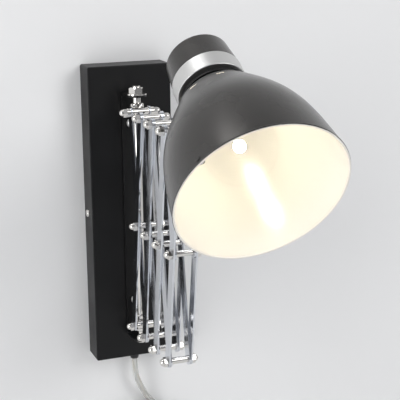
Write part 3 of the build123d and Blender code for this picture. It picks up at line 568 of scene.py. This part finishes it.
bar_chrome = make_polished("polished_bars", POLISHED_BARS)
nut_chrome = make_polished("polished_fittings", POLISHED_FITTINGS)
scissors = [f"{way}_{index}" for way in ("falling", "rising") for index in range(4)]
for pair in scissors:
    dress(bar_chrome, f"{pair}_bars")
    dress(nut_chrome, f"{pair}_axles", f"{pair}_nuts")
dress(nut_chrome, "pivot_rod", "rod_washer", "rod_nut", "cover_screws")
dress(nut_chrome, "swing_block", "swing_axles", "swing_nuts", "swing_washers", "slide_block")
dress(nut_chrome, "head_knuckle", "head_post", "post_collar")
print("chrome on", len(scissors), "pairs of bars, their axles and nuts, and the rod")

# %% [markdown]
# Strap, hidden nuts and small screws are zinc plated. Zinc is duller than chrome, and
# its crystals give slow patches of light and dark grey. One noise drives both the tone
# and the gloss, because on real zinc the pale patches are the duller ones.

# %% Zinc plate
ZINC_GREY = (0.64, 0.64, 0.62)
ZINC_DARKER = (0.46, 0.46, 0.46)
ZINC_ROUGHNESS = 0.365
ZINC_SPREAD = 0.085
PATCH_SCALE = 140
ZINC_GRAIN = 900
ZINC_DEPTH = 0.00001
ZINC_STRENGTH = 0.4


def make_zinc():
    material, shader = new_finish("zinc_plate", ZINC_GREY, ZINC_ROUGHNESS, metallic=1.0)
    places = object_places(material)
    patches = noise(material, places, PATCH_SCALE)
    vary_color(material, shader, patches, ZINC_DARKER)
    vary_roughness(material, shader, patches, ZINC_SPREAD)
    grain = noise(material, places, ZINC_GRAIN, detail=2)
    bump(material, shader, grain, ZINC_DEPTH, ZINC_STRENGTH)
    return material


zinc = make_zinc()
dress(zinc, "wall_strap", "bracket_nuts", "bracket_screws")
dress(zinc, "terminal_screws", "rim_nut", "post_nut")
print("zinc on the strap and the small screws")

# %% [markdown]
# The lampholder is unglazed ivory ceramic, the terminal block and the plug are moulded,
# and the gland and the tie are black nylon. All share one helper: a soft relief, as the
# tool's spark-worn surface leaves it, and slow clouds in tone and in how much they shine.

# %% Ceramic, nylon and mouldings
MOULDING_CLOUDS = 45
MOULDING_SPREAD = 0.06
MOULDING_STRENGTH = 0.6
# Each recipe: colour, darker tone, roughness, grains per metre, their depth in metres.
IVORY_CERAMIC = ((0.80, 0.78, 0.72), (0.74, 0.72, 0.65), 0.51, 700, 0.00004)
TERMINAL_WHITE = ((0.76, 0.76, 0.72), (0.70, 0.70, 0.66), 0.41, 900, 0.00002)
BLACK_NYLON = ((0.022, 0.022, 0.022), (0.012, 0.012, 0.012), 0.46, 1100, 0.00003)
PLUG_WHITE = ((0.80, 0.81, 0.80), (0.72, 0.73, 0.72), 0.31, 800, 0.00003)


def make_moulded(name, recipe):
    """A moulded or fired surface with clouds of tone and gloss, and a fine grain."""
    color, darker, roughness, grain_scale, depth = recipe
    material, shader = new_finish(name, color, roughness)
    places = object_places(material)
    cloud = noise(material, places, MOULDING_CLOUDS)
    vary_color(material, shader, cloud, darker)
    vary_roughness(material, shader, cloud, MOULDING_SPREAD)
    grain = noise(material, places, grain_scale, detail=2)
    bump(material, shader, grain, depth, MOULDING_STRENGTH)
    return material


dress(make_moulded("ivory_ceramic", IVORY_CERAMIC), "lampholder")
dress(make_moulded("terminal_moulding", TERMINAL_WHITE), "terminal_block")
dress(make_moulded("black_nylon", BLACK_NYLON), "cord_gland", "cord_tie")
print("ceramic, terminal block, gland and tie dressed")

# %% [markdown]
# The bulb's base is rolled aluminium with the wide round thread of a lamp cap. It sits
# deep in the lampholder, so rings do for the thread: a sine wave of the place along the
# axis gives them as a relief, with a little noise for wear.

# %% Bulb base
THREAD_PITCH = 0.0036
THREAD_DEPTH = 0.0004
THREAD_STRENGTH = 0.8
BASE_METAL = (0.72, 0.71, 0.69)
BASE_ROUGHNESS = 0.31
BASE_SPREAD = 0.09
WEAR_SCALE = 300


def make_bulb_base():
    material, shader = new_finish("rolled_aluminium", BASE_METAL, BASE_ROUGHNESS, metallic=1.0)
    along = along_axis(material, from_opening(material))
    phase = arithmetic(material, "MULTIPLY", along, 2 * math.pi / THREAD_PITCH)
    thread = arithmetic(material, "SINE", phase)
    bump(material, shader, thread, THREAD_DEPTH, THREAD_STRENGTH)
    wear = noise(material, object_places(material), WEAR_SCALE)
    vary_roughness(material, shader, wear, BASE_SPREAD)
    return material


dress(make_bulb_base(), "bulb_base")
print("thread on the bulb's base")

# %% [markdown]
# The bulb is of clear glass, and it is on. The glass is thin, so it hardly bends what
# lies behind it, and against the bright enamel its outline can't be seen. The finish
# mixes a plain see-through with a trace of gloss that grows towards the edge. Light
# passes it freely on its way to the enamel, which real refraction would make noisy.

# %% Bulb glass
EDGE_GLOSS = 0.012
EDGE_IOR = 1.08
GLASS_TINT = (1.0, 0.97, 0.90)
GLASS_ROUGHNESS = 0.055
GLASS_SPREAD = 0.025
GLASS_STREAKS = 90


def make_bulb_glass():
    material, shader = new_finish("bulb_glass_clear", GLASS_TINT, GLASS_ROUGHNESS)
    clear = add_node(material, "ShaderNodeBsdfTransparent")
    clear.inputs["Color"].default_value = (1.0, 1.0, 1.0, 1)
    edge = add_node(material, "ShaderNodeFresnel", IOR=EDGE_IOR)
    streaks = noise(material, object_places(material), GLASS_STREAKS, detail=2)
    vary_roughness(material, shader, streaks, GLASS_SPREAD)
    gloss = remap(material, edge.outputs[0], 0.0, EDGE_GLOSS, 0.0, 1.0)
    show_mix(material, gloss, clear, shader)
    return material


dress(make_bulb_glass(), "bulb_glass")
print("clear glass on the bulb")

# %% [markdown]
# What glows is a small capsule on a glass stem in the middle of the bulb. Both are turned
# shapes, so one helper turns a profile about the shade's axis, as a lathe would: each
# point of it becomes a ring of points, and faces join the rings. Blender's spin tool
# does this too, but it lists the faces in another order each run. Both pieces ride on the
# head, because they swing with it.

# %% Turned pieces on the shade's axis
LATHE_STEPS = 48
SIDEWAYS = Vector((1, 0, 0))
DOWNWARD = BACKWARD.cross(SIDEWAYS)


def lathe_ring(radius, place):
    """Points round the shade's axis, at a place along it."""
    centre = SHADE_OPENING + BACKWARD * place
    turns = [2 * math.pi * step / LATHE_STEPS for step in range(LATHE_STEPS)]
    return [centre + (SIDEWAYS * math.cos(t) + DOWNWARD * math.sin(t)) * radius for t in turns]


def lathe_faces(rings):
    """Faces between rings of points, which follow the two tips in the list of points."""
    faces = []
    last = (rings - 1) * LATHE_STEPS
    for step in range(LATHE_STEPS):
        here, after = 2 + step, 2 + (step + 1) % LATHE_STEPS
        faces.append((0, after, here))
        for low in range(0, last, LATHE_STEPS):
            high = low + LATHE_STEPS
            faces.append((here + low, after + low, after + high, here + high))
        faces.append((1, here + last, after + last))
    return faces


def turned(name, profile):
    """A piece turned from points of radius and place, of which both ends are on the axis."""
    points = [SHADE_OPENING + BACKWARD * profile[end][1] for end in (0, -1)]
    for radius, place in profile[1:-1]:
        points += lathe_ring(radius, place)
    mesh = bpy.data.meshes.new(name)
    mesh.from_pydata(points, [], lathe_faces(len(profile) - 2))
    mesh.shade_smooth()
    piece = bpy.data.objects.new(name, mesh)
    bpy.context.scene.collection.objects.link(piece)
    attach(piece, "head")
    return piece


def round_profile(radius, near, far, steps=8):
    """Points of a capsule's outline from its near tip to its far one."""
    points = []
    for step in range(steps + 1):
        turn = step / steps * math.pi / 2
        points.append((radius * math.sin(turn), near + radius * (1 - math.cos(turn))))
    for step in range(steps + 1):
        turn = (1 - step / steps) * math.pi / 2
        points.append((radius * math.sin(turn), far - radius * (1 - math.cos(turn))))
    return points


CAPSULE_RADIUS = 0.0048
CAPSULE_NEAR = 0.047
CAPSULE_FAR = 0.057
CAPSULE_PROFILE = round_profile(CAPSULE_RADIUS, CAPSULE_NEAR, CAPSULE_FAR)
STEM_PROFILE = [
    (0.0, CAPSULE_FAR - 0.0005),
    (0.002, CAPSULE_FAR),
    (0.0026, 0.072),
    (0.004, 0.088),
    (0.009, 0.0995),
    (0.0, 0.1005),
]
capsule = turned("bulb_capsule", CAPSULE_PROFILE)
stem = turned("bulb_stem", STEM_PROFILE)
print("capsule and stem of", len(capsule.data.polygons) + len(stem.data.polygons), "faces")

# %% [markdown]
# The capsule lights the enamel for real, through its own surface: a lamp hidden in the
# shade would give the same light, but nothing would be seen to glow, and its reflection
# would be missing. It is small, so it has to be strong. The light is a warm white.

# %% Glow of the capsule
GLOW_COLOR = (1.0, 0.92, 0.69)
GLOW_STRENGTH = 66.0
GLOW_SPREAD = 0.1
GLOW_SCALE = 220
CAPSULE_WHITE = (0.95, 0.92, 0.85)
CAPSULE_ROUGHNESS = 0.3
STEM_GLASS = (0.93, 0.93, 0.90)
STEM_ROUGHNESS = 0.14
STEM_SPREAD = 0.06
STEM_CLEARNESS = 0.7
STEM_CLOUDS = 400


def make_glow():
    material, shader = new_finish("glowing_capsule", CAPSULE_WHITE, CAPSULE_ROUGHNESS)
    shader.inputs["Emission Color"].default_value = (*GLOW_COLOR, 1)
    unevenness = noise(material, object_places(material), GLOW_SCALE, detail=2)
    low, high = GLOW_STRENGTH * (1 - GLOW_SPREAD), GLOW_STRENGTH * (1 + GLOW_SPREAD)
    link(material, remap(material, unevenness, low, high), shader.inputs["Emission Strength"])
    return material


def make_stem_glass():
    material, shader = new_finish("bulb_stem_glass", STEM_GLASS, STEM_ROUGHNESS)
    shader.inputs["Transmission Weight"].default_value = STEM_CLEARNESS
    cloud = noise(material, object_places(material), STEM_CLOUDS, detail=2)
    vary_roughness(material, shader, cloud, STEM_SPREAD)
    return material


capsule.data.materials.append(make_glow())
stem.data.materials.append(make_stem_glass())
print("the capsule glows at", GLOW_STRENGTH)

# %% [markdown]
# The sheath is soft clear plastic, a little milky and never optically perfect. Real
# refraction in a solid tube draws the thin bright and dark lines that clear cords have,
# which a merely see-through surface wouldn't. The tinned core is pale and the copper one
# is warm. The plug's moulding lets a little light in, as pale plastic does.

# %% Cord and plug finishes
SHEATH_COLOR = (0.90, 0.91, 0.89)
SHEATH_ROUGHNESS = 0.13
SHEATH_SPREAD = 0.07
SHEATH_CLEARNESS = 0.72
SHEATH_IOR = 1.42
SHEATH_WAVES = 180
SHEATH_WAVE_DEPTH = 0.0001
SHEATH_WAVE_STRENGTH = 0.3
TINNED = (0.78, 0.78, 0.76)
COPPER = (0.78, 0.70, 0.62)
STRAND_ROUGHNESS = 0.325
STRAND_SPREAD = 0.125
STRAND_SCALE = 1500
STRAND_STRETCH = (1, 1, 4)
STRAND_DEPTH = 0.0001
STRAND_STRENGTH = 0.6
PLUG_GLOW_THROUGH = 0.2
PLUG_GLOW_DEPTH = 0.003


def make_clear_sheath():
    material, shader = new_finish("clear_soft_sheath", SHEATH_COLOR, SHEATH_ROUGHNESS)
    shader.inputs["Transmission Weight"].default_value = SHEATH_CLEARNESS
    shader.inputs["IOR"].default_value = SHEATH_IOR
    waves = noise(material, object_places(material), SHEATH_WAVES, detail=2)
    vary_roughness(material, shader, waves, SHEATH_SPREAD)
    bump(material, shader, waves, SHEATH_WAVE_DEPTH, SHEATH_WAVE_STRENGTH)
    return material


def make_strands(name, color):
    """Fine metal strands laid side by side."""
    material, shader = new_finish(name, color, STRAND_ROUGHNESS, metallic=1.0)
    lay = noise(material, object_places(material, STRAND_STRETCH), STRAND_SCALE, detail=2)
    vary_roughness(material, shader, lay, STRAND_SPREAD)
    bump(material, shader, lay, STRAND_DEPTH, STRAND_STRENGTH)
    return material


clear_cord.data.materials.append(make_clear_sheath())
tinned_core.data.materials.append(make_strands("tinned_strands", TINNED))
copper_core.data.materials.append(make_strands("copper_strands", COPPER))
plug_moulding = make_moulded("plug_moulding", PLUG_WHITE)
plug_shader = plug_moulding.node_tree.nodes["Principled BSDF"]
plug_shader.inputs["Subsurface Weight"].default_value = PLUG_GLOW_THROUGH
plug_shader.inputs["Subsurface Scale"].default_value = PLUG_GLOW_DEPTH
dress(plug_moulding, "plug_body")
dress(make_polished("nickel_pins", NICKEL_PINS), "plug_pins")
print("sheath, cores, plug and pins dressed")

# %% [markdown]
# The scene around the lamp is plain: a pale wall that the plate hangs on, and a pale
# floor. Neither is part of the lamp. Seen from behind, the wall would hide everything,
# so its paint shows only from the front. Light on its way to the strap from behind would
# still meet the painted side once it has bounced, so the wall is a frame of four faces
# with an opening behind the plate.

# %% Wall and floor
WALL_GAP = 0.0004
WALL_SPAN = 3.0
FLOOR_LEVEL = -0.42
PLATE_SIDE = 0.040
PLATE_END = 0.148
WALL_COLOR = (0.90, 0.90, 0.90)
FLOOR_COLOR = (0.78, 0.78, 0.78)
PAINT_ROUGHNESS = 0.8


def make_plane(name, corners, faces=(range(4),)):
    mesh = bpy.data.meshes.new(name)
    mesh.from_pydata(corners, [], faces)
    plane = bpy.data.objects.new(name, mesh)
    bpy.context.scene.collection.objects.link(plane)
    return plane


def rectangle(half_width, low, high):
    """Corners of a rectangle as pairs, the first along the wall."""
    return [(-half_width, low), (half_width, low), (half_width, high), (-half_width, high)]


def make_wall_paint():
    """Matt wall paint that is seen only from the front."""
    material, shader = new_finish("wall_paint", WALL_COLOR, PAINT_ROUGHNESS)
    geometry = add_node(material, "ShaderNodeNewGeometry")
    clear = add_node(material, "ShaderNodeBsdfTransparent")
    show_mix(material, geometry.outputs["Backfacing"], shader, clear)
    return material


wall_outline = rectangle(WALL_SPAN, FLOOR_LEVEL, WALL_SPAN)
wall_opening = rectangle(PLATE_SIDE, -PLATE_END, PLATE_END)
wall_corners = [(x, WALL_GAP, z) for x, z in wall_outline + wall_opening]
wall_faces = [(side, (side + 1) % 4, 4 + (side + 1) % 4, 4 + side) for side in range(4)]
wall = make_plane("wall_behind", wall_corners, wall_faces)
wall.data.materials.append(make_wall_paint())
floor_corners = [(x, y, FLOOR_LEVEL) for x, y in rectangle(WALL_SPAN, -WALL_SPAN, WALL_SPAN)]
floor = make_plane("pale_floor", floor_corners)
floor.data.materials.append(new_finish("floor_paint", FLOOR_COLOR, PAINT_ROUGHNESS)[0])
print("wall and floor in place")

# %% [markdown]
# The light is soft and plain. A pale sky that grows darker downwards gives the chrome
# something to mirror, where an even one would leave it flat. A large lamp stands right
# of the camera and a tall one on the left, so that neither side of the shade goes black.
# A narrow strip above, near the wall, adds a soft light band to the shade and the bars.

# %% Light
SKY_TOP = (0.62, 0.63, 0.65)
SKY_LOW = (0.26, 0.26, 0.27)
SKY_STRENGTH = 0.66
SKY_RISES_FROM = -0.6
SKY_RISES_TO = 0.7
LAMP_TARGET = (0.0, -0.15, 0.0)
SHADE_MIDDLE = (0.0, -0.33, 0.1)
# Each lamp: name, place, target, width and height in metres, watts.
LAMPS = (
    ("key_lamp", (1.0, -1.5, 0.9), LAMP_TARGET, 0.9, 1.2, 13.0),
    ("fill_lamp", (-1.5, -0.9, 0.1), LAMP_TARGET, 0.6, 1.6, 14.0),
    ("overhead_strip", (-0.36, -0.12, 0.95), SHADE_MIDDLE, 0.12, 0.4, 1.2),
)


def make_sky():
    world = bpy.data.worlds.new("pale_sky")
    world.use_nodes = True
    tree = world.node_tree
    places = tree.nodes.new("ShaderNodeTexCoord")
    split = tree.nodes.new("ShaderNodeSeparateXYZ")
    height = tree.nodes.new("ShaderNodeMapRange")
    height.interpolation_type = "SMOOTHSTEP"
    height.inputs["From Min"].default_value = SKY_RISES_FROM
    height.inputs["From Max"].default_value = SKY_RISES_TO
    color = tree.nodes.new("ShaderNodeMix")
    color.data_type = "RGBA"
    color.inputs[MIX_FIRST].default_value = (*SKY_LOW, 1)
    color.inputs[MIX_SECOND].default_value = (*SKY_TOP, 1)
    tree.links.new(places.outputs["Generated"], split.inputs[0])
    tree.links.new(split.outputs["Z"], height.inputs["Value"])
    tree.links.new(height.outputs["Result"], color.inputs[0])
    tree.links.new(color.outputs[MIX_RESULT], tree.nodes["Background"].inputs["Color"])
    tree.nodes["Background"].inputs["Strength"].default_value = SKY_STRENGTH
    bpy.context.scene.world = world


def add_soft_lamp(name, place, target, width, height, power):
    lamp = bpy.data.lights.new(name, "AREA")
    lamp.shape = "RECTANGLE"
    lamp.size = width
    lamp.size_y = height
    lamp.energy = power
    holder = bpy.data.objects.new(name, lamp)
    bpy.context.scene.collection.objects.link(holder)
    holder.location = place
    aim = Vector(target) - Vector(place)
    holder.rotation_euler = aim.to_track_quat("-Z", "Y").to_euler()


make_sky()
for soft_lamp in LAMPS:
    add_soft_lamp(*soft_lamp)
print("sky and", len(LAMPS), "lamps")

# %% [markdown]
# Last come the colour settings and an update of the scene.

# %% Colour settings
bpy.context.scene.view_settings.view_transform = "Standard"
bpy.context.view_layer.update()
